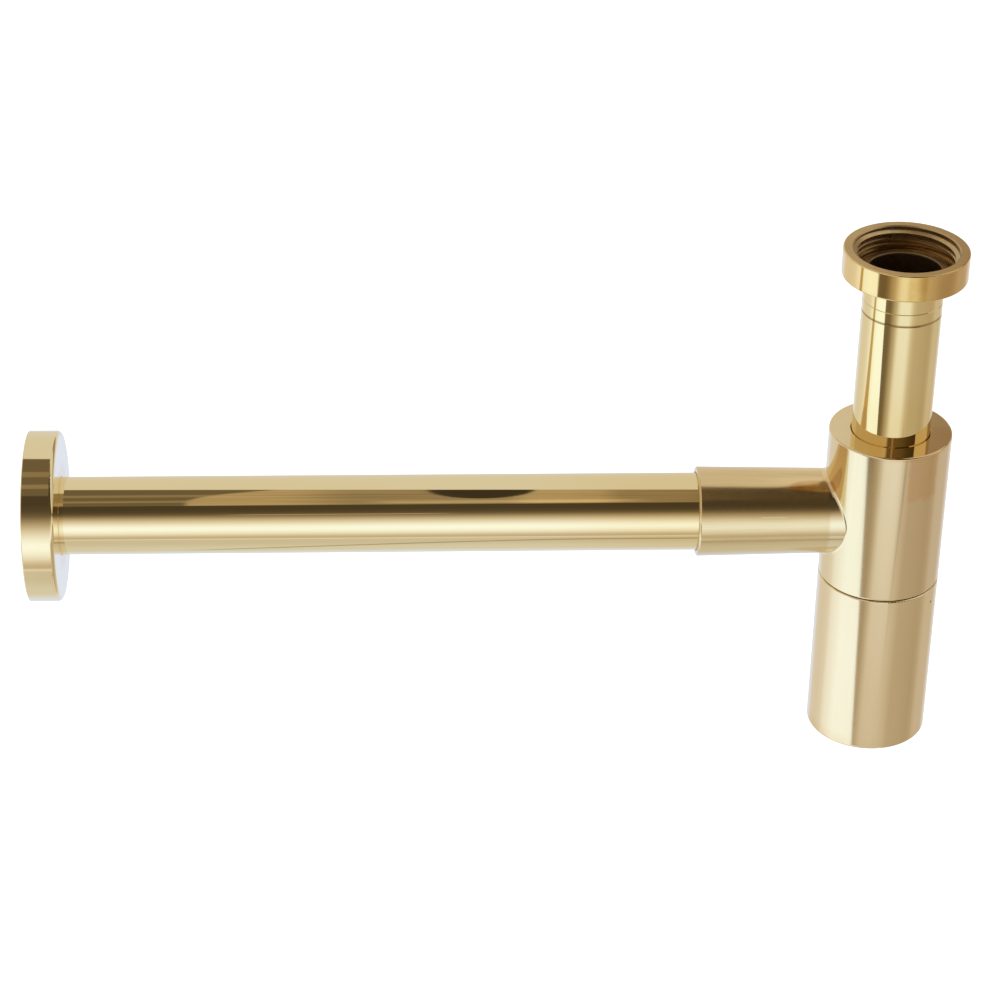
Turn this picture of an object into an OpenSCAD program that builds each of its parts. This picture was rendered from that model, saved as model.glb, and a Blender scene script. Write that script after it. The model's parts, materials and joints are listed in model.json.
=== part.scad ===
// Bottle trap for a basin, 32 mm tubes, with a wall tube and a round wall flange.
// Frame: the origin is on the inlet's axis at the sealing face that meets the basin waste.
// +Z points up along the inlet, and the wall tube runs towards -X. Millimetres.

/* [Tubes] */
// Outside diameter of the inlet tube and of the wall tube
tube_d = 32; // [31:0.5:33]
// Wall thickness of the drawn tubes
tube_wall = 1.4; // [1.2:0.1:1.6]
// Length of the wall tube
wall_tube_l = 300; // [200:10:450]
// Length of wall tube that is inside the branch
wall_tube_in = 28; // [24:1:30]
// Chamfer on the free ends of the tubes
tube_chamfer = 0.3; // [0.1:0.1:0.5]

/* [Inlet] */
// Drop from the sealing face to the top of the body
inlet_drop = 72.5; // [50:0.5:90]
// Water seal, from the invert of the outlet down to the foot of the inlet tube
water_seal = 75; // [50:1:90]
// Length of the ferrule below the sealing face
ferrule_l = 18; // [14:0.5:24]
// Thickness of the ferrule's flange
flange_lip_t = 1.2; // [1:0.1:1.6]
// Overlap of the tube's turned end inside the ferrule
lap_l = 4; // [3:0.5:6]
// Solder gap between the turned end and the ferrule
lap_gap = 0.05; // [0.03:0.01:0.08]
// Depth of the turned line below the sealing face
line_drop = 12.7; // [9:0.1:13.5]
// Depth of the turned line and of the chamfers at the joint
line_cut = 0.15; // [0.1:0.05:0.25]

/* [Union nut] */
// Wall of the nut outside the root of its thread
nut_wall = 4.1; // [3:0.1:6]
// Diameter of the female thread at its root, 41.91 for a 1 1/4 inch pipe thread
thread_d = 41.91; // [41:0.01:43]
// Height of thread above the sealing face
thread_l = 8.2; // [7:0.1:12]
// Diametral gap between the ferrule's flange and the thread's crest
lip_gap = 0.55; // [0.4:0.05:1]
// Depth of one thread ridge
thread_depth = 1.479; // [1:0.001:1.6]
// Thickness of the shoulder that pulls on the ferrule's flange
nut_shoulder_t = 1.3; // [1.1:0.1:2]
// Radius on the nut's outer edges
nut_edge_r = 0.6; // [0.3:0.1:1]
// Chamfer at the mouth of the thread
nut_mouth_c = 0.5; // [0.3:0.1:0.8]
// Radial gap between the nut's shoulder and the ferrule
nut_bore_gap = 0.35; // [0.25:0.05:0.6]
// Radial depth of the relief at the foot of the thread
nut_relief = 0.4; // [0.2:0.1:0.8]

/* [Body] */
// Outside diameter of the body and of the cup
body_d = 50; // [48.5:0.5:54]
// Wall thickness of the body
body_wall = 3; // [2.5:0.1:3.5]
// Height of the body above the outlet's axis
body_up = 38.5; // [36:0.5:50]
// Depth of the body below the outlet's axis
body_down = 29.5; // [27:0.5:40]
// Thickness of the head that guides the inlet tube
head_t = 14; // [13:0.5:15]
// Radius on the top edge of the body
body_top_r = 0.8; // [0.3:0.1:1.5]
// Radius on the bottom edge of the body
body_foot_r = 1; // [0.3:0.1:1.2]
// Radius inside the top of the chamber
chamber_r = 3; // [1:0.5:4]
// Radial gap between the inlet tube and the head
guide_gap = 0.15; // [0.1:0.05:0.25]
// Chamfer at the mouths of the tube sockets
mouth_c = 0.35; // [0.2:0.05:0.5]

/* [Branch] */
// Length of the branch from the inlet's axis to its mouth
branch_l = 78; // [74:0.5:95]
// Outside diameter of the branch at its mouth
branch_d = 37; // [36.8:0.1:39]
// Draft of the casting, as diameter lost from the mouth to the inlet's axis
branch_draft = 2.6; // [1:0.1:2.8]
// Depth of the socket in the branch
socket_l = 32; // [31:0.5:36]
// Radius on the mouth's outer edge
branch_edge_r = 1; // [0.3:0.1:1.2]

/* [Cup] */
// Room below the foot of the inlet tube
foot_gap = 11.4; // [9.5:0.1:20]
// Thickness of the cup's floor
cup_floor_t = 3; // [2:0.1:5]
// Wall thickness of the cup
cup_wall = 3; // [2.6:0.1:3.2]
// Wall thickness round the cup's thread
cup_thread_wall = 1.6; // [1.3:0.1:1.8]
// Radius on the top edge of the cup
cup_top_r = 0.5; // [0.2:0.1:0.8]
// Radius on the bottom edge of the cup
cup_foot_r = 1.6; // [0.5:0.1:2.5]
// Radius inside the bottom of the cup
cup_inner_r = 5; // [2:0.5:8]
// Length of the body's threaded neck inside the cup
neck_l = 9.5; // [9:0.5:12]
// Wall thickness of the neck
neck_wall = 2.6; // [2.2:0.1:2.8]
// Radial room for the thread between the neck and the cup
neck_gap = 0.8; // [0.6:0.05:0.9]
// Seam between the body and the cup
seam_gap = 0.2; // [0.1:0.05:0.4]
// Length of the thread relief at the root of the neck
neck_relief_l = 1.6; // [1:0.1:2.5]
// Depth of the thread relief at the root of the neck
neck_relief = 0.4; // [0.2:0.1:0.6]

/* [Seals] */
// Thickness of the inlet's rubber rings
inlet_cord = 3; // [2.6:0.1:3.2]
// Thickness of the rubber rings in the branch and in the flange
slim_cord = 1.7; // [1.5:0.1:1.8]
// Squeeze of a rubber ring, as a share of its thickness
squeeze = 0.12; // [0.08:0.01:0.15]
// Gap between a rubber ring and the metal that it seals
seal_gap = 0.05; // [0.03:0.01:0.08]
// Side room of a rubber ring in its groove
groove_room = 0.4; // [0.2:0.1:0.6]
// Depth of the upper inlet ring below the top of the body
inlet_seal_drop = 4; // [3.5:0.25:4.5]
// Distance between the two inlet rings
inlet_seal_step = 6; // [5:0.25:6.5]
// Depth of the outer branch ring inside the mouth
outlet_seal_in = 5; // [4:0.25:7]
// Distance between the two rings in the branch
outlet_seal_step = 12; // [8:0.5:14]
// Thickness of the cup's washer
washer_t = 2.2; // [1.8:0.1:3]
// Radial gap between the washer and the cup's thread
washer_gap = 0.3; // [0.2:0.05:0.5]
// Width of the washer's ring
washer_w = 2.5; // [2:0.1:2.6]

/* [Wall flange] */
// Outside diameter of the flange
flange_d = 70; // [62:1:80]
// Depth of the flange from front to back
flange_t = 13; // [10:0.5:16]
// Thickness of the flange's front
flange_front_t = 2.4; // [1.8:0.1:3]
// Thickness of the flange's rim
flange_rim_t = 2; // [1.5:0.1:3]
// Radius on the front edge of the flange
flange_front_r = 1.8; // [0.5:0.1:2]
// Radius on the back edge of the flange
flange_back_r = 0.4; // [0.2:0.1:0.6]
// Radius inside the flange
flange_inner_r = 1; // [0.5:0.1:1.5]
// Depth of the hub that grips the wall tube, from the front
hub_l = 8.5; // [7:0.5:9]
// Wall thickness of the hub
hub_wall = 3.4; // [3:0.1:5]
// Distance of the flange's ring from the flange's front
flange_seal_in = 5; // [4.5:0.1:5.5]
// Setback of the tube's free end from the wall
tube_setback = 1; // [0:0.5:3]

/* [Hidden] */

$fn = 128;
// Overrun of a cutting shape past the face that it cuts
over = 0.5;

// Tubes
tube_r = tube_d / 2;
bore_r = tube_r - tube_wall;
guide_r = tube_r + guide_gap;

// Levels on the inlet's axis
body_top_z = -inlet_drop;
outlet_z = body_top_z - body_up;
seam_z = outlet_z - body_down;
neck_end_z = seam_z - neck_l;
washer_z = neck_end_z - washer_t;
foot_z = outlet_z - bore_r - water_seal;
floor_z = foot_z - foot_gap;
cup_foot_z = floor_z - cup_floor_t;
chamber_top_z = body_top_z - head_t;

// Body and cup radii
body_r = body_d / 2;
chamber_rad = body_r - body_wall;
cup_thread_r = body_r - cup_thread_wall;
cup_rad = body_r - cup_wall;
neck_r = cup_thread_r - neck_gap;
neck_bore_r = neck_r - neck_wall;
washer_r = cup_thread_r - washer_gap;

// Inlet fittings
thread_r = thread_d / 2;
crest_r = thread_r - thread_depth;
lip_r = crest_r - lip_gap / 2;
nut_r = thread_r + nut_wall;
nut_foot_z = -flange_lip_t - nut_shoulder_t;
nut_top_z = thread_l + nut_mouth_c;
lap_r = (tube_r + bore_r) / 2;

// Seals and their grooves
inlet_ring_w = inlet_cord * (1 - squeeze);
slim_ring_w = slim_cord * (1 - squeeze);
inlet_groove_r = tube_r + inlet_ring_w + 2 * seal_gap;
slim_groove_r = tube_r + slim_ring_w + 2 * seal_gap;
inlet_groove_h = inlet_cord + groove_room;
slim_groove_h = slim_cord + groove_room;
inlet_seal_z = [body_top_z - inlet_seal_drop, body_top_z - inlet_seal_drop - inlet_seal_step];
outlet_seal_x = [outlet_seal_in - branch_l, outlet_seal_in + outlet_seal_step - branch_l];

// Wall tube and flange
wall_tube_x0 = wall_tube_in - branch_l;
wall_tube_x1 = wall_tube_x0 - wall_tube_l;
flange_back_x = wall_tube_x1 - tube_setback;
flange_front_x = flange_back_x + flange_t;
flange_seal_x = flange_front_x - flange_seal_in;
flange_r = flange_d / 2;
hub_r = guide_r + hub_wall;

brass = [0.80, 0.66, 0.38];
pale_brass = [0.84, 0.71, 0.44];
rubber = [0.10, 0.10, 0.11];

// Waste left outside a rounded corner at [x, y], with metal towards [sx, sy]
module round_off(x, y, r, sx, sy) {
    difference() {
        translate([x - (sx > 0 ? over : r), y - (sy > 0 ? over : r)]) square(r + over);
        translate([x + sx * r, y + sy * r]) circle(r);
    }
}

// Waste left outside a chamfered corner at [x, y], with metal towards [sx, sy]
module bevel_off(x, y, c, sx, sy) {
    polygon([
        [x + sx * c, y], [x, y + sy * c],
        [x - sx * over, y + sy * c], [x - sx * over, y - sy * over], [x + sx * c, y - sy * over]
    ]);
}

// Flat strip from radius r0 to r1 and from level z0 to z1
module strip(r0, r1, z0, z1) {
    translate([r0, z0]) square([r1 - r0, z1 - z0]);
}

// Turned about the outlet's axis, with the profile's height running towards +X
module on_outlet() {
    translate([0, 0, outlet_z]) rotate([0, 90, 0]) children();
}

// Squeezed rubber ring: a round cord with flats where it meets the tube and the groove
module seal_ring(cord, ring_w) {
    centre_r = tube_r + seal_gap + ring_w / 2;
    color(rubber) rotate_extrude() intersection() {
        translate([centre_r, 0]) circle(d = cord);
        translate([centre_r, 0]) square([ring_w, 2 * cord], center = true);
    }
}

// Section of a seal groove, centred on the level
module groove(level, depth_r, height) {
    strip(guide_r - over, depth_r, level - height / 2, level + height / 2);
}

module body_outside() {
    rotate_extrude() difference() {
        union() {
            strip(0, body_r, seam_z + seam_gap, body_top_z);
            strip(0, neck_r, neck_end_z, seam_z + seam_gap + over);
        }
        round_off(body_r, body_top_z, body_top_r, -1, -1);
        round_off(body_r, seam_z + seam_gap, body_foot_r, -1, 1);
        bevel_off(neck_r, neck_end_z, mouth_c, -1, 1);
        strip(neck_r - neck_relief, neck_r + over / 10,
              seam_z - neck_relief_l, seam_z + seam_gap);
    }
}

module branch_outside() {
    mouth_r = branch_d / 2;
    root_r = (branch_d - branch_draft) / 2;
    on_outlet() rotate_extrude() difference() {
        polygon([[0, -branch_l], [mouth_r, -branch_l], [root_r, 0], [0, 0]]);
        round_off(mouth_r, -branch_l, branch_edge_r, -1, 1);
    }
}

module head_bore() {
    rotate_extrude() {
        strip(0, guide_r, chamber_top_z - over, body_top_z + over);
        polygon([
            [0, body_top_z - mouth_c], [guide_r, body_top_z - mouth_c],
            [guide_r + mouth_c, body_top_z], [guide_r + mouth_c, body_top_z + over],
            [0, body_top_z + over]
        ]);
        for (z = inlet_seal_z) groove(z, inlet_groove_r, inlet_groove_h);
    }
}

module chamber() {
    taper = chamber_rad - neck_bore_r;
    rotate_extrude() {
        difference() {
            polygon([
                [0, neck_end_z - over], [neck_bore_r, neck_end_z - over],
                [neck_bore_r, seam_z], [chamber_rad, seam_z + taper],
                [chamber_rad, chamber_top_z], [0, chamber_top_z]
            ]);
            round_off(chamber_rad, chamber_top_z, chamber_r, -1, -1);
        }
    }
}

module branch_bore() {
    mouth_z = -branch_l;
    on_outlet() rotate_extrude() {
        strip(0, bore_r, mouth_z, 0);
        strip(0, guide_r, mouth_z - over, mouth_z + socket_l);
        polygon([
            [0, mouth_z - over], [guide_r + mouth_c, mouth_z - over],
            [guide_r + mouth_c, mouth_z], [guide_r, mouth_z + mouth_c], [0, mouth_z + mouth_c]
        ]);
        for (x = outlet_seal_x) groove(x, slim_groove_r, slim_groove_h);
    }
}

module trap_body() {
    color(brass) difference() {
        union() {
            body_outside();
            branch_outside();
        }
        chamber();
        head_bore();
        branch_bore();
    }
}

module trap_cup() {
    color(brass) rotate_extrude() difference() {
        strip(0, body_r, cup_foot_z, seam_z);
        round_off(body_r, seam_z, cup_top_r, -1, -1);
        round_off(body_r, cup_foot_z, cup_foot_r, -1, 1);
        strip(-over, cup_thread_r, washer_z, seam_z + over);
        difference() {
            strip(-over, cup_rad, floor_z, washer_z + over);
            round_off(cup_rad, floor_z, cup_inner_r, -1, 1);
        }
        bevel_off(cup_thread_r, seam_z, mouth_c, 1, -1);
    }
}

module cup_washer() {
    color(rubber) rotate_extrude() strip(washer_r - washer_w, washer_r, washer_z, neck_end_z);
}

module inlet_tube() {
    color(pale_brass) rotate_extrude() difference() {
        union() {
            strip(bore_r, tube_r, foot_z, -ferrule_l);
            strip(bore_r, lap_r - lap_gap / 2, -ferrule_l - over, lap_l - ferrule_l - lap_gap);
        }
        bevel_off(tube_r, -ferrule_l, line_cut, -1, -1);
        bevel_off(tube_r, foot_z, tube_chamfer, -1, 1);
        bevel_off(bore_r, foot_z, tube_chamfer, 1, 1);
    }
}

module inlet_ferrule() {
    color(pale_brass) rotate_extrude() difference() {
        union() {
            strip(bore_r, lip_r, -flange_lip_t, 0);
            strip(bore_r, tube_r, -ferrule_l, 0);
        }
        strip(bore_r - over, lap_r + lap_gap / 2, -ferrule_l - over, lap_l - ferrule_l);
        bevel_off(tube_r, -ferrule_l, line_cut, -1, 1);
        bevel_off(lip_r, 0, line_cut, -1, -1);
        bevel_off(bore_r, 0, tube_chamfer, 1, -1);
        polygon([
            [tube_r + over, -line_drop - over - line_cut], [tube_r + over, -line_drop + over + line_cut],
            [tube_r - line_cut, -line_drop]
        ]);
    }
}

module inlet_nut() {
    color(brass) rotate_extrude() difference() {
        strip(tube_r + nut_bore_gap, nut_r, nut_foot_z, nut_top_z);
        strip(0, thread_r + nut_relief, -flange_lip_t, 0);
        strip(0, thread_r, -over / 10, nut_top_z + over);
        bevel_off(thread_r, nut_top_z, nut_mouth_c, 1, -1);
        round_off(nut_r, nut_top_z, nut_edge_r, -1, -1);
        round_off(nut_r, nut_foot_z, nut_edge_r, -1, 1);
        bevel_off(tube_r + nut_bore_gap, nut_foot_z, tube_chamfer, 1, 1);
    }
}

module inlet_seal(n) {
    translate([0, 0, inlet_seal_z[n]]) seal_ring(inlet_cord, inlet_ring_w);
}

module outlet_seal(n) {
    on_outlet() translate([0, 0, outlet_seal_x[n]]) seal_ring(slim_cord, slim_ring_w);
}

module wall_tube() {
    color(pale_brass) on_outlet() rotate_extrude() difference() {
        strip(bore_r, tube_r, wall_tube_x1, wall_tube_x0);
        bevel_off(tube_r, wall_tube_x0, tube_chamfer, -1, -1);
        bevel_off(tube_r, wall_tube_x1, tube_chamfer, -1, 1);
    }
}

module wall_flange() {
    hollow_x = flange_front_x - flange_front_t;
    color(brass) on_outlet() rotate_extrude() difference() {
        strip(guide_r, flange_r, flange_back_x, flange_front_x);
        round_off(flange_r, flange_front_x, flange_front_r, -1, -1);
        round_off(flange_r, flange_back_x, flange_back_r, -1, 1);
        difference() {
            strip(guide_r - over, flange_r - flange_rim_t, flange_back_x - over, hollow_x);
            strip(guide_r, hub_r, flange_front_x - hub_l, hollow_x);
            round_off(flange_r - flange_rim_t, hollow_x, flange_inner_r, -1, -1);
        }
        bevel_off(guide_r, flange_front_x, mouth_c, 1, -1);
        bevel_off(guide_r, flange_front_x - hub_l, mouth_c, 1, 1);
        groove(flange_seal_x, slim_groove_r, slim_groove_h);
    }
}

module flange_seal() {
    on_outlet() translate([0, 0, flange_seal_x]) seal_ring(slim_cord, slim_ring_w);
}

trap_body();
trap_cup();
cup_washer();
inlet_tube();
inlet_ferrule();
inlet_nut();
inlet_seal(0);  // inlet_seal_upper
inlet_seal(1);  // inlet_seal_lower
wall_tube();
outlet_seal(0);  // outlet_seal_outer
outlet_seal(1);  // outlet_seal_inner
wall_flange();
flange_seal();
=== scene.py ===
import json
import math

import bmesh
import bpy
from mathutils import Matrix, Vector


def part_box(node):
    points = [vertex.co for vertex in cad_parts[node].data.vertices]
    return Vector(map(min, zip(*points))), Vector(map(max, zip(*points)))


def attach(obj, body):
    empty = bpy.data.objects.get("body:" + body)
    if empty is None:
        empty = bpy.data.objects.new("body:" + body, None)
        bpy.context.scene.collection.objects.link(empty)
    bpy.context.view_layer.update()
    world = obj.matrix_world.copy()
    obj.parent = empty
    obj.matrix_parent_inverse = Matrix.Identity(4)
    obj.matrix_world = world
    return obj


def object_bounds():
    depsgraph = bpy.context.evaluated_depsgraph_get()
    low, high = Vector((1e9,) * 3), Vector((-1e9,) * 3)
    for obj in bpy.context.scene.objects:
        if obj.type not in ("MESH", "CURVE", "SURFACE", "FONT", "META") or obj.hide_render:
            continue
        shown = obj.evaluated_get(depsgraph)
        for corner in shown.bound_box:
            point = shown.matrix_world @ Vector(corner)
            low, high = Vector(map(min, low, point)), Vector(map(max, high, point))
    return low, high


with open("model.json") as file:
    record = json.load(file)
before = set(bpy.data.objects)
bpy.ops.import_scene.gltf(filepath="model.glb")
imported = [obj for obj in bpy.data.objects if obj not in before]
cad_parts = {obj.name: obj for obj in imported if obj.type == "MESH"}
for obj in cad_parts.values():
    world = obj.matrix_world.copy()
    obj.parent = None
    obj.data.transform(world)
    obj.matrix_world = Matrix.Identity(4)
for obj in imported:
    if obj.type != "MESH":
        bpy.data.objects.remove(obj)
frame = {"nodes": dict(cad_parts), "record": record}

bl_info = {
    "name": "Basin trap finish",
    "version": (1, 0, 0),
    "blender": (4, 5, 0),
    "location": "3D View > Sidebar > Basin Trap",
    "description": "Brass finishes, threads and studio for a bottle trap with a wall tube",
    "category": "Object",
}

MM = 0.001
CAD_BOUNDS = [list(corner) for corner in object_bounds()]

# Sizes of the solids in millimetres, from the frame
BOX = {name: [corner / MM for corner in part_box(name)] for name in frame["nodes"]}
NUT_FOOT, NUT_TOP = (corner.z for corner in BOX["inlet_nut"])
NUT_R = BOX["inlet_nut"][1].x
JOINT_Z = BOX["inlet_ferrule"][0].z + 0.2
BODY_TOP = BOX["trap_body"][1].z
BODY_R = BOX["trap_body"][1].x
BRANCH_MOUTH_X = BOX["trap_body"][0].x
CUP_FOOT, CUP_TOP = (corner.z for corner in BOX["trap_cup"])
NECK_END = BOX["cup_washer"][1].z
TUBE_R = BOX["wall_tube"][1].y
OUTLET_Z = (BOX["wall_tube"][0].z + BOX["wall_tube"][1].z) / 2
FLANGE_FRONT = BOX["wall_flange"][1].x
FLANGE_R = BOX["wall_flange"][1].y
INLET_MOUNT = next(m for m in frame["record"]["mounts"] if m["name"] == "basin_inlet")
UNION_ROOT_R = INLET_MOUNT["dims"]["r_mm"]
UNION_LENGTH = INLET_MOUNT["dims"]["length_mm"]

# Sizes in millimetres that the frame doesn't give
NECK_R = 22.6
CUP_THREAD_R = 23.4
BRANCH_MOUTH_R = 18.5
BRANCH_AXIS_R = 17.2
LINE_Z = -12.7


class Wire:
    """A shader socket that takes part in Python arithmetic; without a socket it only adds nodes."""

    def __init__(self, tree, socket=None):
        self.tree = tree
        self.socket = socket

    def node(self, kind, settings=None, sockets=None, output=0):
        """Adds any node: its settings first, then the values or links of its sockets."""
        made = self.tree.nodes.new(kind)
        for name, value in (settings or {}).items():
            if name == "stops":
                set_stops(made.color_ramp, value)
            else:
                setattr(made, name, value)
        for key, value in (sockets or {}).items():
            if isinstance(value, Wire):
                self.tree.links.new(value.socket, made.inputs[key])
            else:
                made.inputs[key].default_value = value
        return Wire(self.tree, made.outputs[output])

    def math(self, operation, *values, clamp=False):
        sockets = {n: v for n, v in enumerate(values)}
        return self.node("ShaderNodeMath", {"operation": operation, "use_clamp": clamp}, sockets)

    def __add__(self, other):
        return self.math("ADD", self, other)

    __radd__ = __add__

    def __sub__(self, other):
        return self.math("SUBTRACT", self, other)

    def __rsub__(self, other):
        return self.math("SUBTRACT", other, self)

    def __mul__(self, other):
        return self.math("MULTIPLY", self, other)

    __rmul__ = __mul__

    def __truediv__(self, other):
        return self.math("DIVIDE", self, other)

    def __rtruediv__(self, other):
        return self.math("DIVIDE", other, self)

    def __pow__(self, other):
        return self.math("POWER", self, other)

    def __neg__(self):
        return self.math("MULTIPLY", self, -1.0)

    def __abs__(self):
        return self.math("ABSOLUTE", self)

    def step(self, low, high):
        """0 below low and 1 above high, or the other way round where low is the larger."""
        sockets = {0: self, 1: low, 2: high, 3: 0.0, 4: 1.0}
        return self.node("ShaderNodeMapRange", {"interpolation_type": "SMOOTHSTEP"}, sockets)

    def band(self, centre, half, soft):
        """1 within half of the centre, falling to 0 over the soft width."""
        return abs(self - centre).step(half + soft, half)

    def mix(self, low, high):
        """The colour low where this value is 0 and high where it is 1."""
        ends = [rgba(end) if isinstance(end, tuple) else end for end in (low, high)]
        settings = {"data_type": "RGBA", "clamp_factor": True}
        return self.node("ShaderNodeMix", settings, {0: self, 6: ends[0], 7: ends[1]}, 2)


def set_stops(ramp, stops):
    """Places a colour ramp's stops, each a position and a colour."""
    while len(ramp.elements) > 1:
        ramp.elements.remove(ramp.elements[-1])
    ramp.elements[0].position = stops[0][0]
    ramp.elements[0].color = rgba(stops[0][1])
    for position, colour in stops[1:]:
        ramp.elements.new(position).color = rgba(colour)


def rgba(colour):
    return (*colour[:3], 1.0)


def new_material(name):
    """An empty node material, as a Wire to add nodes by and its output node."""
    material = bpy.data.materials.new(name)
    material.use_nodes = True
    material.node_tree.nodes.clear()
    output = material.node_tree.nodes.new("ShaderNodeOutputMaterial")
    return material, Wire(material.node_tree), output


class TrapStudio(bpy.types.PropertyGroup):
    camera_place: bpy.props.FloatVectorProperty(
        name="Camera place", description="Where the camera stands", size=3,
        default=(-0.20399, -1.05538, 0.52418), subtype="TRANSLATION", unit="LENGTH")
    camera_turn: bpy.props.FloatVectorProperty(
        name="Camera turn", description="How the camera is turned", size=3,
        default=tuple(math.radians(a) for a in (59.218, -0.724, -2.023)),
        subtype="EULER", unit="ROTATION")
    lens: bpy.props.FloatProperty(
        name="Lens", description="Focal length on a 36 mm sensor", default=107.8, min=20.0)
    floor_drop: bpy.props.FloatProperty(
        name="Floor drop", description="Height of the cup above the floor",
        default=0.42, min=0.0, unit="LENGTH")
    floor_lift: bpy.props.FloatProperty(
        name="Floor lift", description="Light that the floor adds where it is seen directly",
        default=0.5, min=0.0, max=1.0)
    tent_radius: bpy.props.FloatProperty(
        name="Tent radius", description="Radius of the tent that the metal mirrors",
        default=8.0, min=2.0, unit="LENGTH")
    lamp_power: bpy.props.FloatProperty(
        name="Lamp power", description="Power of the overhead lamp",
        default=42.0, min=0.0, unit="POWER")


def light(level):
    """Light of the tent as the brass mirrors it: warm where it is dim and cool where it is bright."""
    return (level, level * (0.78 + 0.3 * level ** 2), level * (0.5 + 0.78 * level ** 2))


# Colours that the metal mirrors
SKY_SHADE = (0.79, 0.88, 1.12)
CEILING = (0.78, 0.77, 0.76)
FAR_CORNER = (0.38, 0.30, 0.22)
LOWER_WALL = (0.76, 0.78, 0.82)
LOWER_FRONT = (0.69, 0.68, 0.69)


def ramp(wire, angle, stops):
    """Colours by an angle between -180 and 180 degrees; a bare number is a level of light."""
    placed = [((turn + 180) / 360, light(c) if isinstance(c, float) else c) for turn, c in stops]
    return wire.node("ShaderNodeValToRGB", {"stops": placed}, {0: angle / 360 + 0.5})


def front_panels(wire, x, pitch):
    """Front to back over the top, as the level tubes mirror it: x across, pitch in degrees."""
    front = ramp(wire, pitch, [
        (-180, 0.75), (-150, SKY_SHADE), (-112, SKY_SHADE), (-98, LOWER_WALL), (-84, LOWER_WALL),
        (-64, LOWER_FRONT), (-50, LOWER_FRONT), (-48, 0.84), (-46, 0.84), (-44, 0.62), (-40, 0.64),
        (-35, 0.76), (-29, 0.93), (-22, 1.05), (-15, 1.12), (-9, 1.12), (-2, 1.04), (4, 0.92),
        (10, 0.78), (16, 0.60), (22, 0.40), (29, 0.18), (36, 0.10), (45, 0.075), (180, 0.075)])

    # Dark opening overhead, with lighter panes that begin at a curved edge, and a dark round shade
    curve = wire.math("MAXIMUM", (pitch - 66) / 38, 0.0) ** 2 * 0.028 - 0.104
    left = pitch.band(88, 3, 2) * 0.12 + pitch.band(70, 2, 2) * 0.14 + 0.12
    pane = x.step(-0.035, -0.07) * 0.15 + x.band(0.042, 0.012, 0.012) * 0.14 + 0.28
    pane = pane + pitch.band(64, 3, 2) * x.band(0.02, 0.04, 0.02) * 0.19
    streaks = wire.node("ShaderNodeTexNoise", None, {
        "Vector": wire.node("ShaderNodeCombineXYZ", None, {0: x * 14, 1: pitch * 0.22}),
        "Scale": 1.0, "Detail": 3.0})
    pane = pane * (streaks * 0.9 + 0.55) * x.step(0.125, 0.09)
    shade_round = ((x - 0.010) / 0.021) ** 2 + ((pitch - 104) / 31) ** 2
    pane = pane * shade_round.step(0.9, 1.05)
    pane = left + (pane - left) * (x - curve).step(-0.001, 0.001) + 0.05
    panes = wire.node("ShaderNodeCombineColor", None, {0: pane, 1: pane * 0.78, 2: pane * 0.5})
    front = pitch.step(56, 58).mix(front, panes)
    # Past the opening: the wall on its left, the pale ceiling behind it and a dim far corner
    front = (x.step(-0.22, -0.34) * pitch.step(4, 26)).mix(front, light(0.68))
    front = (pitch - (104 - 60 * x)).step(-1.0, 1.0).mix(front, CEILING)
    front = (x.step(0.156, 0.182) * pitch.band(152, 14, 8)).mix(front, FAR_CORNER)
    glint = pitch.band(29, 0.8, 1.0) * x.band(-0.045, 0.03, 0.02)
    front = (glint * 0.6).mix(front, (0.56, 0.43, 0.36))

    # A thin dark rail that curves across the lower front
    sag = wire.math("MAXIMUM", 0.05 - x, 0.0) ** 1.5 * 720
    rail = (pitch + sag).band(-57, 1.2, 2.0) * pitch.step(-48, -52) * x.step(-0.11, -0.08)
    return (rail * 0.75).mix(front, light(0.36))


def side_panels(wire, heading, rise):
    """Left to right, as the upright pieces mirror it: heading and rise in degrees."""
    sides = ramp(wire, heading, [
        (-180, 0.45), (-165, 0.95), (-150, 0.80), (-128, 0.80), (-112, 0.86), (-101, 1.0),
        (-88, 1.06), (-76, 1.12), (-60, 1.12), (-56, 0.20), (-44, 0.19), (-38, 0.28), (-31, 0.47),
        (-20, 0.66), (-9, 0.92), (0, 0.92), (10, 0.78), (17, 0.70), (26, 0.66), (37, 0.57),
        (62, 0.54), (80, 0.51), (90, 0.55), (101, 0.66), (112, 0.66), (128, 0.64), (145, 0.8),
        (165, 0.9), (180, 0.45)])
    # Lower down the dark gap is hazy and the white sheet beside it reaches further round
    haze = heading.band(-45, 9, 7) * rise.step(-29.3, -30.8)
    sides = (haze * 0.75).mix(sides, light(0.47))
    sheet = (heading + (rise + 31) * 2.75).step(-45.5, -47.0) * heading.step(-75, -70)
    sides = sheet.mix(sides, light(1.12))
    # A thin dark cord on the right
    cord = (heading - (rise + 31) * 2.6).band(22.5, 1.2, 1.6) * rise.step(-29.0, -30.5)
    return (cord * 0.8).mix(sides, light(0.24))


def tent_material():
    """Panels of the tent, placed by direction round the part."""
    material, wire, output = new_material("tent_panels")
    place = wire.node("ShaderNodeTexCoord", output=3)
    unit = wire.node("ShaderNodeVectorMath", {"operation": "NORMALIZE"}, {0: place})
    x, y, z = (wire.node("ShaderNodeSeparateXYZ", None, {0: unit}, n) for n in range(3))
    degree = 180 / math.pi
    pitch = wire.math("ARCTAN2", z, -y) * degree
    heading = wire.math("ARCTAN2", x, -y) * degree
    rise = wire.math("ARCSINE", z) * degree
    beside = abs(x).step(0.14, 0.42) * rise.step(-2.0, -12.0)
    colour = beside.mix(front_panels(wire, x, pitch), side_panels(wire, heading, rise))
    shader = wire.node("ShaderNodeBsdfPrincipled", None, {
        "Base Color": (0.0, 0.0, 0.0, 1.0), "Roughness": 1.0, "Specular IOR Level": 0.0,
        "Emission Color": colour, "Emission Strength": 1.0})
    wire.tree.links.new(shader.socket, output.inputs["Surface"])
    material.cycles.emission_sampling = "NONE"
    return material


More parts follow.
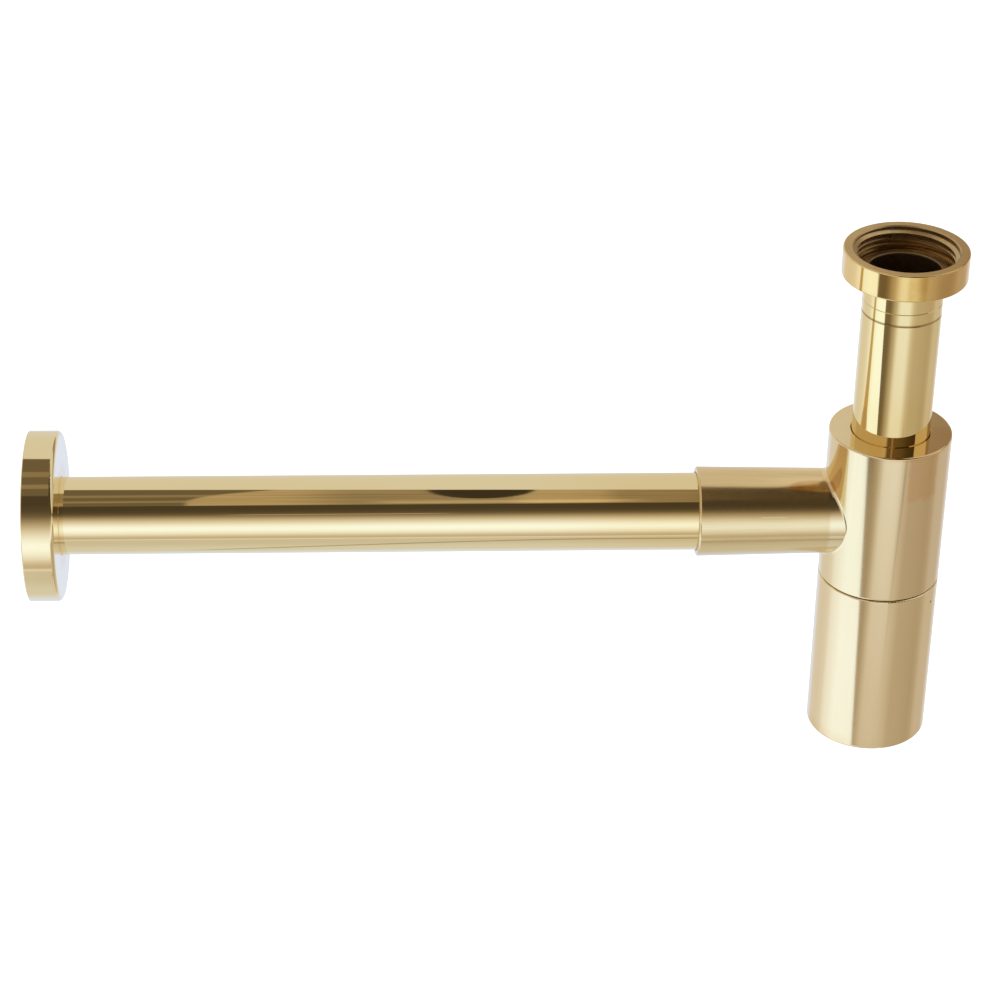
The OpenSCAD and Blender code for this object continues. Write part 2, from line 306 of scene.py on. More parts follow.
def seen_directly(wire):
    """1 for the rays that show a surface, from the camera or by way of the metal, and 0 for light."""
    rays = [wire.node("ShaderNodeLightPath", output=name)
            for name in ("Is Camera Ray", "Is Glossy Ray", "Is Transmission Ray")]
    return wire.math("MINIMUM", rays[0] + rays[1] + rays[2], 1.0)


def floor_material(lift):
    """Plain white floor that keeps the part's shadow."""
    material, wire, output = new_material("white_floor")
    paint = {"Base Color": (0.9, 0.9, 0.9, 1.0), "Roughness": 0.9, "Specular IOR Level": 0.0}
    plain = wire.node("ShaderNodeBsdfPrincipled", None, paint)
    lifted = wire.node("ShaderNodeBsdfPrincipled", None, {
        **paint, "Emission Color": (1.0, 1.0, 1.0, 1.0), "Emission Strength": lift})
    shader = wire.node("ShaderNodeMixShader", None, {0: seen_directly(wire), 1: plain, 2: lifted})
    wire.tree.links.new(shader.socket, output.inputs["Surface"])
    return material


def add_mesh(name, mesh_data, material):
    """Links a finished bmesh as an object at the origin."""
    mesh = bpy.data.meshes.new(name)
    mesh_data.to_mesh(mesh)
    mesh_data.free()
    mesh.materials.append(material)
    made = bpy.data.objects.new(name, mesh)
    bpy.context.scene.collection.objects.link(made)
    return made


FLOOR_REACH = 30.0
LAMP_WIDTH = 1.8
LAMP_RIGHT = 0.4
LAMP_FORWARD = 0.3
LAMP_RISE = 2.8


class TRAP_OT_studio(bpy.types.Operator):
    """Sets the camera, the floor, the lamp and the tent that the metal mirrors"""

    bl_idname = "trap.studio"
    bl_label = "Studio"

    def execute(self, context):
        studio = context.scene.trap_studio
        camera = bpy.data.cameras.new("camera")
        camera.sensor_width = 36.0
        camera.sensor_fit = "HORIZONTAL"
        camera.lens = studio.lens
        camera.clip_end = 100.0
        stand = bpy.data.objects.new("camera", camera)
        stand.location = studio.camera_place
        stand.rotation_euler = studio.camera_turn
        context.scene.collection.objects.link(stand)
        context.scene.camera = stand

        ground = bmesh.new()
        bmesh.ops.create_grid(ground, x_segments=1, y_segments=1, size=FLOOR_REACH)
        level = CUP_FOOT * MM - studio.floor_drop
        middle = (CAD_BOUNDS[0][0] + CAD_BOUNDS[1][0]) / 2
        bmesh.ops.translate(ground, vec=(middle, 0.0, level), verts=ground.verts)
        floor = add_mesh("floor", ground, floor_material(studio.floor_lift))
        floor.visible_glossy = False

        shell = bmesh.new()
        bmesh.ops.create_icosphere(shell, subdivisions=5, radius=studio.tent_radius)
        bmesh.ops.reverse_faces(shell, faces=shell.faces)
        tent = add_mesh("tent", shell, tent_material())
        tent.visible_camera = False
        tent.visible_diffuse = False
        tent.visible_transmission = False
        tent.visible_volume_scatter = False
        tent.visible_shadow = False

        lamp = bpy.data.lights.new("overhead", "AREA")
        lamp.shape = "SQUARE"
        lamp.size = LAMP_WIDTH
        lamp.energy = studio.lamp_power
        hung = bpy.data.objects.new("overhead", lamp)
        hung.location = (middle + LAMP_RIGHT, -LAMP_FORWARD, level + LAMP_RISE)
        hung.visible_glossy = False
        context.scene.collection.objects.link(hung)

        world = bpy.data.worlds.new("studio")
        world.use_nodes = True
        world.node_tree.nodes.clear()
        wire = Wire(world.node_tree)
        output = world.node_tree.nodes.new("ShaderNodeOutputWorld")
        soft = wire.node("ShaderNodeBackground", None, {0: (1.0, 1.0, 1.0, 1.0), 1: 0.55})
        white = wire.node("ShaderNodeBackground", None, {0: (1.0, 1.0, 1.0, 1.0), 1: 1.0})
        sky = wire.node("ShaderNodeMixShader", None, {0: seen_directly(wire), 1: soft, 2: white})
        world.node_tree.links.new(sky.socket, output.inputs["Surface"])
        context.scene.world = world
        context.scene.view_settings.view_transform = "Standard"
        return {"FINISHED"}


class TrapBrass(bpy.types.PropertyGroup):
    colour: bpy.props.FloatVectorProperty(
        name="Brass", description="Colour of the clean brass", size=3,
        default=(0.87, 0.73, 0.42), min=0.0, max=1.0, subtype="COLOR")
    tarnish: bpy.props.FloatVectorProperty(
        name="Tarnish", description="Colour of the amber tarnish", size=3,
        default=(0.66, 0.44, 0.17), min=0.0, max=1.0, subtype="COLOR")
    polish: bpy.props.FloatProperty(
        name="Tube roughness", description="Roughness of the drawn tubes and the flange",
        default=0.025, min=0.0, max=1.0)
    satin: bpy.props.FloatProperty(
        name="Cast roughness", description="Roughness of the turned faces of body and cup",
        default=0.085, min=0.0, max=1.0)
    brushed: bpy.props.FloatProperty(
        name="Branch roughness", description="Roughness of the hand finished branch",
        default=0.14, min=0.0, max=1.0)
    wave: bpy.props.FloatProperty(
        name="Wave height", description="Height of the long waves in the polished tubes",
        default=0.012 * MM, min=0.0, unit="LENGTH")


class Surface:
    """Masks, grains and layers of one finish, all in the part's own frame in millimetres."""

    def __init__(self, name):
        self.material, self.wire, self.output = new_material(name)
        place = self.wire.node("ShaderNodeTexCoord", output=3)
        self.point = self.wire.node(
            "ShaderNodeVectorMath", {"operation": "SCALE"}, {0: place, "Scale": 1000.0})
        self.x, self.y, self.z = (
            self.wire.node("ShaderNodeSeparateXYZ", None, {0: self.point}, n) for n in range(3))
        self.r = self.wire.math("SQRT", self.x ** 2 + self.y ** 2)
        self.bearing = self.wire.math("ARCTAN2", self.y, self.x) * (180 / math.pi)
        drop = self.z - OUTLET_Z
        self.branch_r = self.wire.math("SQRT", self.y ** 2 + drop ** 2)
        self.branch_bearing = self.wire.math("ARCTAN2", drop, self.y) * (180 / math.pi)

    def noise(self, size, stretch=(1.0, 1.0, 1.0), detail=2.0):
        """Noise between 0 and 1 with spots of that size in mm, longer along each stretched axis."""
        spread = tuple(1 / (size * s) for s in stretch)
        spots = self.wire.node("ShaderNodeVectorMath", {"operation": "MULTIPLY"},
                               {0: self.point, 1: spread})
        return self.wire.node("ShaderNodeTexNoise", None, {
            "Vector": spots, "Scale": 1.0, "Detail": detail})

    def spot(self, x, y, z, size):
        """1 at a place and 0 beyond its size, in mm, or sizes along the three axes."""
        sizes = size if isinstance(size, tuple) else (size, size, size)
        away = (((self.x - x) / sizes[0]) ** 2 + ((self.y - y) / sizes[1]) ** 2
                + ((self.z - z) / sizes[2]) ** 2)
        return away.step(1.0, 0.45)

    def coat(self, colour, amount, layer):
        """The colour covered by a layer, by an amount between 0 and 1."""
        return amount.mix(colour, layer)

    def finish(self, colour, roughness, height=None, depth=0.01, metal=1.0):
        """Joins the layers in one shader; the height is a relief of that depth in mm."""
        sockets = {"Base Color": colour, "Metallic": metal, "Roughness": roughness}
        if isinstance(colour, tuple):
            sockets["Base Color"] = rgba(colour)
        if height is not None:
            sockets["Normal"] = self.wire.node("ShaderNodeBump", None, {
                "Strength": 1.0, "Distance": depth * MM, "Height": height})
        shader = self.wire.node("ShaderNodeBsdfPrincipled", None, sockets)
        self.wire.tree.links.new(shader.socket, self.output.inputs["Surface"])
        return self.material


def shade(colour, *factors):
    """A colour darkened by a factor, or by a factor for each of its channels."""
    factors = factors * 3 if len(factors) == 1 else factors
    return tuple(c * f for c, f in zip(colour, factors))


# Colours of what isn't polished
RAW_BRASS = (0.34, 0.235, 0.12)
THREAD_BRASS = (0.56, 0.40, 0.20)
LINE_BROWN = (0.40, 0.25, 0.08)
# Painted shade on the dull sealing face inside the nut
SHADED_SEALING_FACE = (0.40, 0.30, 0.17)
STAIN_RED = (0.60, 0.34, 0.14)
PIT_BLACK = (0.05, 0.03, 0.01)
RUBBER_BLACK = (0.018, 0.018, 0.019)
RUBBER_DUST = (0.05, 0.048, 0.045)
# Thickness of skin, in mm, within which a face counts as the outer one
SKIN = 0.6
GRAIN_DEPTH = 0.004


def wall_tube_finish(look):
    """Drawn tube, mirror polished, with long waves and a faint amber end at the branch."""
    face = Surface("wall_tube_brass")
    brass = tuple(look.colour)
    cloud = face.noise(60, (2.5, 1.0, 1.0)).step(0.35, 0.7)
    colour = face.coat(rgba(brass), cloud * 0.5, shade(brass, 0.98, 0.96, 0.90))
    end = face.x.step(BRANCH_MOUTH_X - 72, BRANCH_MOUTH_X - 4)
    colour = face.coat(colour, end * 0.6, shade(brass, 0.95, 0.88, 0.74))
    specks = face.noise(0.9).step(0.66, 0.74)
    colour = face.coat(colour, specks * 0.10, shade(brass, 0.8, 0.72, 0.6))
    inside = face.branch_r.step(TUBE_R - SKIN, TUBE_R - SKIN - 0.3)
    colour = face.coat(colour, inside, RAW_BRASS)
    rough = face.noise(18, (3.0, 1.0, 1.0)) * 0.02 + look.polish - 0.01 + inside * 0.3
    wave = face.noise(26, (2.6, 1.0, 1.0), 1.0) + face.noise(3.0, (1.5, 1.0, 1.0), 1.0) * 0.02
    return face.finish(colour, rough, wave, look.wave / MM)


def lines_under_nut(face):
    """Brown in two lines under the nut, darker in the joint of ferrule and tube."""
    return face.z.band(JOINT_Z, 0.35, 0.35) * 0.8 + face.z.band(LINE_Z, 0.15, 0.25) * 0.15


def inlet_tube_finish(look):
    """Drawn tube, mirror polished, yellower, amber near the body and brown in the joint."""
    face = Surface("inlet_tube_brass")
    brass = shade(tuple(look.colour), 1.0, 0.985, 0.88)
    low = face.z.step(BODY_TOP + 30, BODY_TOP + 6) * face.noise(12, (1.0, 1.0, 3.0)).step(0.3, 0.6)
    colour = face.coat(rgba(brass), low * 0.5, shade(brass, 0.96, 0.88, 0.66))
    streak = face.noise(5, (1.0, 1.0, 14.0)).step(0.45, 0.75)
    colour = face.coat(colour, streak * 0.25, shade(brass, 0.95, 0.9, 0.8))
    outer = face.r.step(TUBE_R - SKIN - 0.1, TUBE_R - SKIN + 0.2)
    colour = face.coat(colour, lines_under_nut(face) * outer, LINE_BROWN)
    inside = face.r.step(TUBE_R - SKIN - 0.2, TUBE_R - SKIN - 0.5)
    colour = face.coat(colour, inside, RAW_BRASS)
    rough = face.noise(14, (1.0, 1.0, 4.0)) * 0.02 + look.polish + inside * 0.35
    wave = face.noise(20, (1.0, 1.0, 2.0), 1.0)
    return face.finish(colour, rough, wave, look.wave / MM * 0.7)


def ferrule_finish(look):
    """Collar of the inlet tube, as bright as the tube; its dull sealing face down in the nut is
    painted brown as shade.
    """
    face = Surface("ferrule_brass")
    brass = shade(tuple(look.colour), 1.0, 0.985, 0.86)
    colour = face.coat(rgba(brass), lines_under_nut(face), LINE_BROWN)
    # Painted shade: the sealing face down in the nut is darkened in colour, and it is also rougher
    top = face.z.step(-1.2, -0.4)
    colour = face.coat(colour, top, SHADED_SEALING_FACE)
    inside = face.r.step(TUBE_R - SKIN - 0.2, TUBE_R - SKIN - 0.5)
    colour = face.coat(colour, inside, RAW_BRASS)
    rough = face.noise(10, (1.0, 1.0, 3.0)) * 0.03 + look.polish + inside * 0.35 + top * 0.22
    return face.finish(colour, rough)


def nut_finish(look):
    """Turned nut, amber all round and browner on the side away from the branch."""
    face = Surface("nut_brass")
    brass, amber = tuple(look.colour), tuple(look.tarnish)
    cloud = face.noise(9, detail=3.0).step(0.3, 0.7)
    away = face.bearing.band(-50, 12, 16)
    left = face.bearing.band(-170, 28, 35) + face.bearing.band(180, 10, 10)
    front = face.bearing.band(-88, 6, 5) * (cloud * 0.4 + 0.5)
    colour = rgba(shade(brass, 0.97, 0.84, 0.56))
    colour = face.coat(colour, left * 0.7, shade(brass, 1.0, 0.92, 0.75))
    colour = face.coat(colour, away * (cloud * 0.3 + 0.7), amber)
    colour = face.coat(colour, front, shade(brass, 0.72, 0.54, 0.24))
    rim = face.z.step(NUT_FOOT + 1.9, NUT_FOOT + 0.7) * 0.3
    rim = rim + face.z.step(NUT_TOP - 1.7, NUT_TOP - 0.4) * 0.3
    colour = face.coat(colour, rim * cloud, amber)
    # Dull turned top and raw thread
    top = face.z.step(NUT_TOP - 0.25, NUT_TOP - 0.1) * face.r.step(NUT_R - 0.2, NUT_R - 0.7)
    rings = face.wire.math("SINE", face.r * 9.0) * 0.5 + 0.5
    colour = face.coat(colour, top, shade(brass, 0.74, 0.60, 0.42))
    colour = face.coat(colour, top * (rings * 0.15 + cloud * 0.35), shade(brass, 0.58, 0.43, 0.28))
    inside = face.r.step(UNION_ROOT_R + SKIN, UNION_ROOT_R + SKIN - 0.3)
    colour = face.coat(colour, inside, THREAD_BRASS)
    rough = cloud * 0.03 + 0.03 + top * 0.20 + inside * 0.28
    wave = face.noise(7, detail=1.0)
    return face.finish(colour, rough, wave, look.wave / MM * 0.5)


def thread_finish(look):
    """Brown raw thread, lighter where it has been rubbed."""
    face = Surface("thread_brass")
    rubbed = face.noise(2.5, (1.0, 1.0, 1.0), 3.0).step(0.4, 0.7)
    layer = shade(look.colour, 0.76, 0.62, 0.40)
    colour = face.coat(rgba(THREAD_BRASS), rubbed * 0.5, layer)
    return face.finish(colour, rubbed * -0.08 + 0.34)


def body_finish(look):
    """Cast and turned body with a hand finished branch, peach and amber stains and a fine grain."""
    face = Surface("body_brass")
    brass = shade(tuple(look.colour), 0.96, 0.955, 0.98)
    branch = face.branch_r.step(BRANCH_MOUTH_R + 0.8, BRANCH_MOUTH_R + 0.4)
    branch = branch * face.x.step(1 - BODY_R, -0.5 - BODY_R)
    grain = face.noise(0.5, (1.0, 1.0, 60.0), 3.0)
    brush = face.noise(0.45, (50.0, 1.0, 1.0), 3.0)
    cloud = face.noise(11, (1.0, 1.0, 2.0), 3.0).step(0.3, 0.7)
    colour = rgba(brass)
    colour = face.coat(colour, grain.step(0.3, 0.7) * 0.16, shade(brass, 0.90, 0.86, 0.84))
    right = face.bearing.band(-45, 32, 12)
    colour = face.coat(colour, right * 0.8, shade(brass, 0.94, 0.90, 0.94))
    # Peach patch with a broken edge on the upper right
    reach = face.noise(5, (1.0, 1.0, 1.0), 3.0) * 8
    patch = (face.bearing + reach).band(-60, 14, 3) * (face.z + reach).band(BODY_TOP - 6.5, 9, 3)
    colour = face.coat(colour, patch * (cloud * 0.25 + 0.5), shade(brass, 0.92, 0.74, 0.62))
    rim = face.z.step(BODY_TOP - 2.1, BODY_TOP - 0.7) * face.bearing.band(-50, 45, 15)
    colour = face.coat(colour, rim * 0.45, shade(brass, 0.86, 0.66, 0.45))
    # Branch: duller, brushed along its length, amber on top and lighter near the body
    colour = face.coat(colour, branch * 0.9, shade(brass, 0.90, 0.85, 0.74))
    upper = branch * face.branch_bearing.band(95, 32, 22)
    colour = face.coat(colour, upper * (cloud * 0.3 + 0.6), shade(brass, 0.94, 0.81, 0.67))
    near = upper * face.x.step(-40 - BODY_R, -BODY_R)
    colour = face.coat(colour, near * 0.8, shade(brass, 1.08, 0.98, 0.84))
    lines = branch * brush.step(0.35, 0.75) * 0.25
    colour = face.coat(colour, lines, shade(brass, 0.76, 0.68, 0.56))
    # Red brown stain where the branch meets the body
    stain = (face.spot(-BODY_R - 6, -8, OUTLET_Z + 15.8, (12, 5, 2.2))
             + face.spot(0.5 - BODY_R, -9.3, OUTLET_Z + 16.5, 3))
    stain = face.wire.math("MINIMUM", stain, 1.0) * (cloud * 0.3 + 0.5)
    colour = face.coat(colour, stain, STAIN_RED)
    scratch = face.branch_bearing.band(158.3, 0.35, 0.35) * face.x.band(-47.5, 4.5, 1.5) * branch
    colour = face.coat(colour, scratch * 0.8, shade(brass, 1.1))
    top = face.z.step(BODY_TOP - 0.4, BODY_TOP - 0.1)
    colour = face.coat(colour, top * (cloud * 0.3 + 0.25), shade(brass, 0.90, 0.76, 0.60))
    # Raw bores of head, chamber and socket
    bore = face.r.step(BODY_R - 1, BODY_R - 1.5) * face.z.step(BODY_TOP - 0.7, BODY_TOP - 2)
    bore = bore + face.branch_r.step(TUBE_R + SKIN, TUBE_R + 0.2) * face.x.step(-26.0, -27.0)
    bore = face.wire.math("MINIMUM", bore, 1.0)
    colour = face.coat(colour, bore, RAW_BRASS)
    rough = (grain * 0.03 + look.satin - 0.015 + branch * (look.brushed - look.satin)
             + branch * brush * 0.05 + scratch * -0.06 + bore * 0.3 + top * -0.04)
    return face.finish(colour, rough, grain * (1 - branch) + branch * brush, GRAIN_DEPTH)


def cup_finish(look):
    """Turned cup with a fine grain, amber round the foot and one small pit below the seam."""
    face = Surface("cup_brass")
    brass = shade(tuple(look.colour), 0.97, 0.96, 1.0)
    grain = face.noise(0.5, (1.0, 1.0, 60.0), 3.0)
    cloud = face.noise(16, (1.0, 1.0, 2.5), 3.0).step(0.3, 0.7)
    colour = face.coat(rgba(brass), grain.step(0.3, 0.7) * 0.16, shade(brass, 0.90, 0.86, 0.84))
    colour = face.coat(colour, cloud * 0.2, shade(brass, 0.94, 0.88, 0.82))
    foot = face.z.step(CUP_FOOT + 8, CUP_FOOT + 1)
    colour = face.coat(colour, foot * cloud * 0.35, shade(brass, 0.85, 0.68, 0.48))
    pit = face.spot(20.42, -14.40, CUP_TOP - 6.57, 0.6)
    colour = face.coat(colour, pit, PIT_BLACK)
    inside = face.r.step(BODY_R - SKIN, BODY_R - SKIN - 0.2)
    inside = inside * face.z.step(CUP_FOOT + 3.1, CUP_FOOT + 3.5)
    colour = face.coat(colour, inside, RAW_BRASS)
    rough = grain * 0.03 + look.satin - 0.02 + pit * 0.4 + inside * 0.3
    return face.finish(colour, rough, grain + pit * -20, GRAIN_DEPTH)


def flange_finish(look):
    """Pressed and spun wall flange, mirror polished, amber on the hub and round the tube."""
    face = Surface("flange_brass")
    brass = tuple(look.colour)
    cloud = face.noise(14).step(0.3, 0.7)
    colour = face.coat(rgba(brass), cloud * 0.3, shade(brass, 0.98, 0.94, 0.86))
    hub = face.branch_r.step(TUBE_R + 7.5, TUBE_R + 3) * (cloud * 0.3 + 0.4)
    colour = face.coat(colour, hub, shade(brass, 0.90, 0.70, 0.42))
    # Dull hollow back
    behind = face.x.step(FLANGE_FRONT - 2.0, FLANGE_FRONT - 2.3)
    behind = behind * face.branch_r.step(FLANGE_R - 1.6, FLANGE_R - 1.9)
    colour = face.coat(colour, behind, RAW_BRASS)
    rough = cloud * 0.015 + look.polish + behind * 0.3
    wave = face.noise(16, detail=1.0)
    return face.finish(colour, rough, wave, look.wave / MM * 0.6)


def rubber_finish():
    """Black rubber of the seals and the cup's washer, slightly dusty."""
    face = Surface("rubber")
    dust = face.noise(1.2, detail=4.0).step(0.45, 0.75)
    colour = face.coat(rgba(RUBBER_BLACK), dust * 0.5, RUBBER_DUST)
    return face.finish(colour, dust * 0.15 + 0.55, face.noise(0.4), 0.02, metal=0.0)


class TRAP_OT_finishes(bpy.types.Operator):
    """Gives each solid its finish"""

    bl_idname = "trap.finishes"
    bl_label = "Finishes"

    def execute(self, context):
        look = context.scene.trap_brass
        rubber = rubber_finish()
        finishes = {
            "wall_tube": wall_tube_finish(look), "inlet_tube": inlet_tube_finish(look),
            "inlet_ferrule": ferrule_finish(look), "inlet_nut": nut_finish(look),
            "trap_body": body_finish(look), "trap_cup": cup_finish(look),
            "wall_flange": flange_finish(look)}
        for name, node in frame["nodes"].items():
            node.material_slots[0].material = finishes.get(name, rubber)
        return {"FINISHED"}


class TrapThreads(bpy.types.PropertyGroup):
    union_depth: bpy.props.FloatProperty(
        name="Union thread depth", description="Depth of the thread in the union nut",
        default=1.48 * MM, min=0.5 * MM, unit="LENGTH")
    union_pitch: bpy.props.FloatProperty(
        name="Union thread pitch", description="Rise of the union nut's thread in one turn",
        default=2.309 * MM, min=1.0 * MM, unit="LENGTH")
    cup_depth: bpy.props.FloatProperty(
        name="Cup thread depth", description="Depth of the threads of the cup and of the neck",
        default=0.75 * MM, min=0.3 * MM, unit="LENGTH")
    cup_pitch: bpy.props.FloatProperty(
        name="Cup thread pitch", description="Rise of the cup's thread in one turn",
        default=2.0 * MM, min=1.0 * MM, unit="LENGTH")
    fillet: bpy.props.FloatProperty(
        name="Branch fillet", description="Radius of the cast fillet between branch and body",
        default=1.6 * MM, min=0.5 * MM, unit="LENGTH")


def thread_tree():
    """A helical ridge of trapezoid section that tapers away at both ends."""
    tree = bpy.data.node_groups.new("screw_thread", "GeometryNodeTree")
    face = tree.interface
    face.new_socket("Geometry", in_out="INPUT", socket_type="NodeSocketGeometry")
    for name in THREAD_SIZES:
        face.new_socket(name, in_out="INPUT", socket_type="NodeSocketFloat")
    face.new_socket("Material", in_out="INPUT", socket_type="NodeSocketMaterial")
    face.new_socket("Geometry", in_out="OUTPUT", socket_type="NodeSocketGeometry")
    wire = Wire(tree)
    sizes = tree.nodes.new("NodeGroupInput")
    given = {name: Wire(tree, sizes.outputs[name]) for name in (*THREAD_SIZES, "Material")}

    path = wire.node("GeometryNodeCurveSpiral", None, {
        "Resolution": STEPS_PER_TURN, "Rotations": given["Turns"],
        "Start Radius": given["Wall Radius"], "End Radius": given["Wall Radius"],
        "Height": given["Turns"] * given["Pitch"], "Reverse": True})
    lift = wire.node("ShaderNodeCombineXYZ", None, {2: given["Low"]})
    path = wire.node("GeometryNodeTransform", None, {"Geometry": path, "Translation": lift})
    path = wire.node("GeometryNodeSetCurveNormal", {"mode": "Z_UP"}, {"Curve": path})
    along = wire.node("GeometryNodeSplineParameter") * given["Turns"]
    taper = along.step(0.0, END_TAPER) * (given["Turns"] - along).step(0.0, END_TAPER)

    section = wire.node("GeometryNodeCurvePrimitiveQuadrilateral", {"mode": "TRAPEZOID"}, {
        "Bottom Width": given["Base Width"], "Top Width": given["Crest Width"],
        "Height": given["Depth"], "Offset": 0.0})
    outward = wire.node("ShaderNodeCombineXYZ", None, {1: given["Depth"] / 2})
    section = wire.node("GeometryNodeTransform", None, {
        "Geometry": section, "Translation": outward})
    facing = wire.node("ShaderNodeCombineXYZ", None, {2: given["Facing"]})
    section = wire.node("GeometryNodeTransform", None, {"Geometry": section, "Rotation": facing})

    ridge = wire.node("GeometryNodeCurveToMesh", None, {
        "Curve": path, "Profile Curve": section, "Fill Caps": True,
        "Scale": taper * (1 - END_SCALE) + END_SCALE})
    ridge = wire.node("GeometryNodeRealizeInstances", None, {0: ridge})
    ridge = wire.node("GeometryNodeSetMaterial", None, {
        "Geometry": ridge, "Material": given["Material"]})
    output = tree.nodes.new("NodeGroupOutput")
    tree.links.new(ridge.socket, output.inputs[0])
    return tree


THREAD_SIZES = (
    "Wall Radius", "Depth", "Pitch", "Low", "Turns", "Base Width", "Crest Width", "Facing")
STEPS_PER_TURN = 96
END_TAPER = 0.3
END_SCALE = 0.05
OUTWARD = -math.pi / 2
INWARD = math.pi / 2


def grow(name, tree, values, material):
    """One piece grown by a Geometry Nodes tree and kept as a plain mesh."""
    seed = bpy.data.objects.new(name, bpy.data.meshes.new(name))
    bpy.context.scene.collection.objects.link(seed)
    modifier = seed.modifiers.new("grow", "NODES")
    modifier.node_group = tree
    for item in tree.interface.items_tree:
        if item.in_out == "INPUT" and item.name in values:
            modifier[item.identifier] = values[item.name]
        elif item.in_out == "INPUT" and item.name == "Material":
            modifier[item.identifier] = material
    graph = bpy.context.evaluated_depsgraph_get()
    mesh = bpy.data.meshes.new_from_object(seed.evaluated_get(graph), depsgraph=graph)
    mesh.name = name
    if not mesh.polygons:
        raise RuntimeError(name + " has no faces")
    bpy.data.objects.remove(seed)
    made = bpy.data.objects.new(name, mesh)
    bpy.context.scene.collection.objects.link(made)
    close_up(mesh)
    return made


def close_up(mesh):
    """Joins doubled points, turns the faces outward and keeps the sharp edges sharp."""
    work = bmesh.new()
    work.from_mesh(mesh)
    bmesh.ops.remove_doubles(work, verts=work.verts, dist=0.001 * MM)
    bmesh.ops.recalc_face_normals(work, faces=work.faces)
    for face in work.faces:
        face.smooth = True
    work.to_mesh(mesh)
    work.free()
    mesh.set_sharp_from_angle(angle=math.radians(30))


def thread_inputs(wall_r, depth, pitch, low, length, widths, facing):
    """Inputs of one thread in metres; its foot is sunk a little into the wall that carries it."""
    sunk = 0.05 * MM
    return {
        "Wall Radius": wall_r * MM + (sunk if facing == INWARD else -sunk), "Depth": depth + sunk,
        "Pitch": pitch, "Low": low * MM, "Turns": length * MM / pitch,
        "Base Width": pitch * widths[0], "Crest Width": pitch * widths[1], "Facing": facing}


# Width of a ridge at its foot and its crest, as shares of the pitch
UNION_WIDTHS = (0.9, 0.16)
CUP_WIDTHS = (0.5, 0.15)
# Plain lengths before and after the threads, in millimetres
UNION_START = 0.75
UNION_PLAIN = 1.35
NECK_START = 0.9
NECK_PLAIN = 3.2
CUP_PLAIN = 2.8


class TRAP_OT_threads(bpy.types.Operator):
    """Cuts the screw threads in the union nut, on the neck and in the cup"""

    bl_idname = "trap.threads"
    bl_label = "Threads"

    def execute(self, context):
        sizes = context.scene.trap_threads
        tree = thread_tree()
        low = NECK_END + NECK_START
        reach = CUP_TOP - NECK_END
        union = thread_inputs(
            UNION_ROOT_R, sizes.union_depth, sizes.union_pitch, UNION_START,
            UNION_LENGTH - UNION_PLAIN, UNION_WIDTHS, INWARD)
        neck = thread_inputs(
            NECK_R, sizes.cup_depth, sizes.cup_pitch, low, reach - NECK_PLAIN, CUP_WIDTHS, OUTWARD)
        cup = thread_inputs(
            CUP_THREAD_R, sizes.cup_depth, sizes.cup_pitch, low + sizes.cup_pitch / 2 / MM,
            reach - CUP_PLAIN, CUP_WIDTHS, INWARD)
        dull = thread_finish(context.scene.trap_brass)
        pieces = (
            ("union_thread", union, "nut", "nut_brass"),
            ("neck_thread", neck, "trap_body", "body_brass"),
            ("cup_thread", cup, "cup", "cup_brass"))
        for name, values, body, slot in pieces:
            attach(grow(name, tree, values, dull), body)
        return {"FINISHED"}


class TRAP_OT_fillet(bpy.types.Operator):
    """Adds the cast fillet where the branch leaves the body"""

    bl_idname = "trap.fillet"
    bl_label = "Branch fillet"

    def execute(self, context):
        ball = context.scene.trap_threads.fillet
        work = bmesh.new()
        rings = [fillet_section(work, 2 * math.pi * n / FILLET_STEPS, ball)
                 for n in range(FILLET_STEPS)]
        for near, far in zip(rings, rings[1:] + rings[:1]):
            for a, b in zip(range(len(near)), [*range(1, len(near)), 0]):
                work.faces.new((near[a], near[b], far[b], far[a]))
        bmesh.ops.recalc_face_normals(work, faces=work.faces)
        for face in work.faces:
            face.smooth = True
        brass = frame["nodes"]["trap_body"].material_slots[0].material
        made = add_mesh("branch_fillet", work, brass)
        made.data.set_sharp_from_angle(angle=math.radians(50))
        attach(made, "trap_body")
        return {"FINISHED"}


FILLET_STEPS = 192
FILLET_ARC = 8


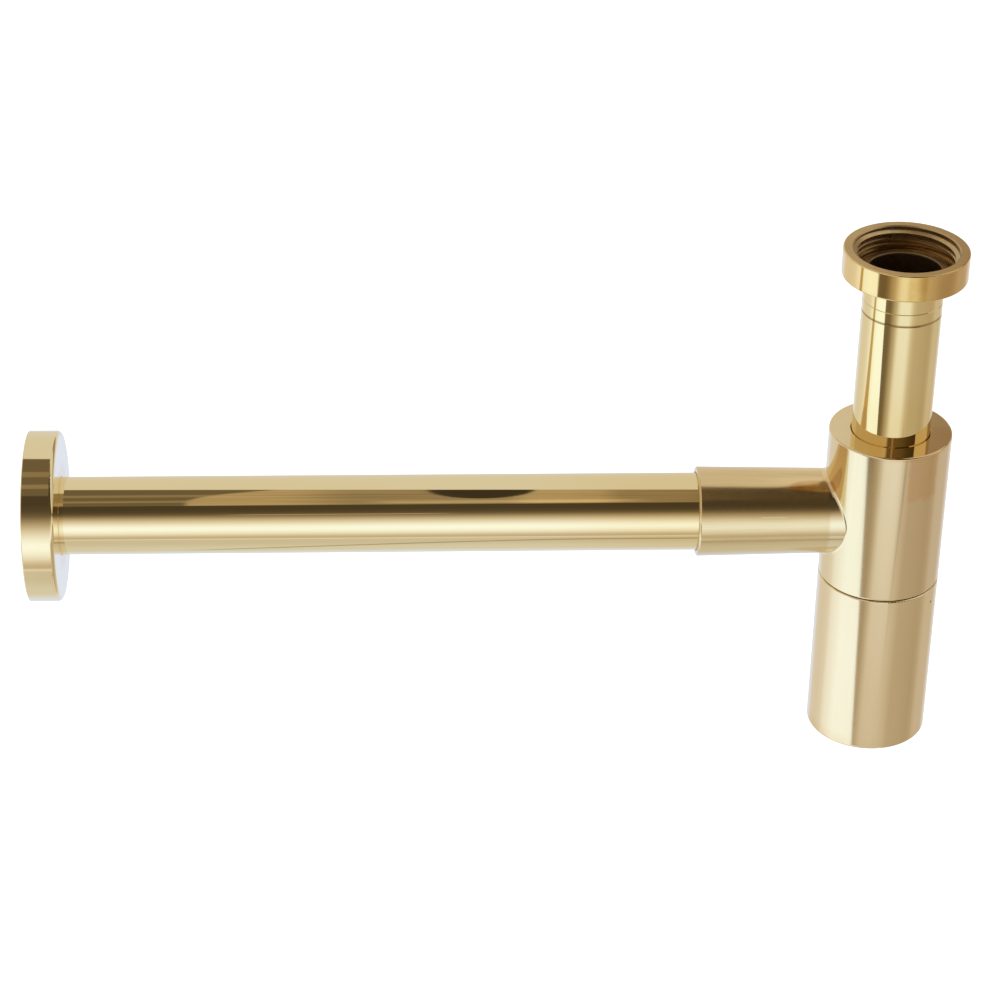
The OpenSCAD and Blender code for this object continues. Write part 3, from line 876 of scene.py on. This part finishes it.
def fillet_section(work, angle, ball):
    """Section of the fillet at one angle round the branch: an arc that touches both walls."""
    around = Vector((0.0, math.cos(angle), math.sin(angle)))
    slope = (BRANCH_MOUTH_R - BRANCH_AXIS_R) / BRANCH_MOUTH_X
    body_r, axis_r = BODY_R * MM, BRANCH_AXIS_R * MM
    x = -body_r
    # The ball's middle lies as far from the body as from the drafted branch
    for _ in range(20):
        reach = axis_r + slope * x + ball
        x = -math.sqrt((body_r + ball) ** 2 - (reach * around.y) ** 2)
    middle = Vector((x, reach * around.y, OUTLET_Z * MM + reach * around.z))
    to_body = -Vector((middle.x, middle.y, 0.0)).normalized()
    to_branch = (-around + Vector((slope, 0.0, 0.0))).normalized()
    points = []
    for n in range(FILLET_ARC + 1):
        share = n / FILLET_ARC
        points.append(middle + to_body.slerp(to_branch, share) * (ball + 0.01 * MM))
    inside = middle + (to_body + to_branch) * (ball + 0.4 * MM)
    return [work.verts.new(point) for point in (*points, inside)]


class TRAP_PT_sidebar(bpy.types.Panel):
    """Sizes, colours and steps of the trap's finish"""

    bl_idname = "TRAP_PT_sidebar"
    bl_label = "Basin Trap"
    bl_space_type = "VIEW_3D"
    bl_region_type = "UI"
    bl_category = "Basin Trap"

    def draw(self, context):
        for name, operators in SIDEBAR:
            group = getattr(context.scene, name)
            box = self.layout.box()
            for size in type(group).__annotations__:
                box.prop(group, size)
            for operator in operators:
                box.operator(operator.bl_idname)


GROUPS = {"trap_studio": TrapStudio, "trap_brass": TrapBrass, "trap_threads": TrapThreads}
SIDEBAR = (
    ("trap_studio", (TRAP_OT_studio,)),
    ("trap_brass", (TRAP_OT_finishes,)),
    ("trap_threads", (TRAP_OT_threads, TRAP_OT_fillet)))
CLASSES = (
    *GROUPS.values(), TRAP_OT_studio, TRAP_OT_finishes, TRAP_OT_threads, TRAP_OT_fillet,
    TRAP_PT_sidebar)


def register():
    for cls in CLASSES:
        bpy.utils.register_class(cls)
    for name, group in GROUPS.items():
        setattr(bpy.types.Scene, name, bpy.props.PointerProperty(type=group))


def unregister():
    for name in GROUPS:
        delattr(bpy.types.Scene, name)
    for cls in reversed(CLASSES):
        bpy.utils.unregister_class(cls)


def main():
    register()
    bpy.ops.trap.studio()
    bpy.ops.trap.finishes()
    bpy.ops.trap.threads()
    bpy.ops.trap.fillet()


if __name__ == "__main__":
    main()
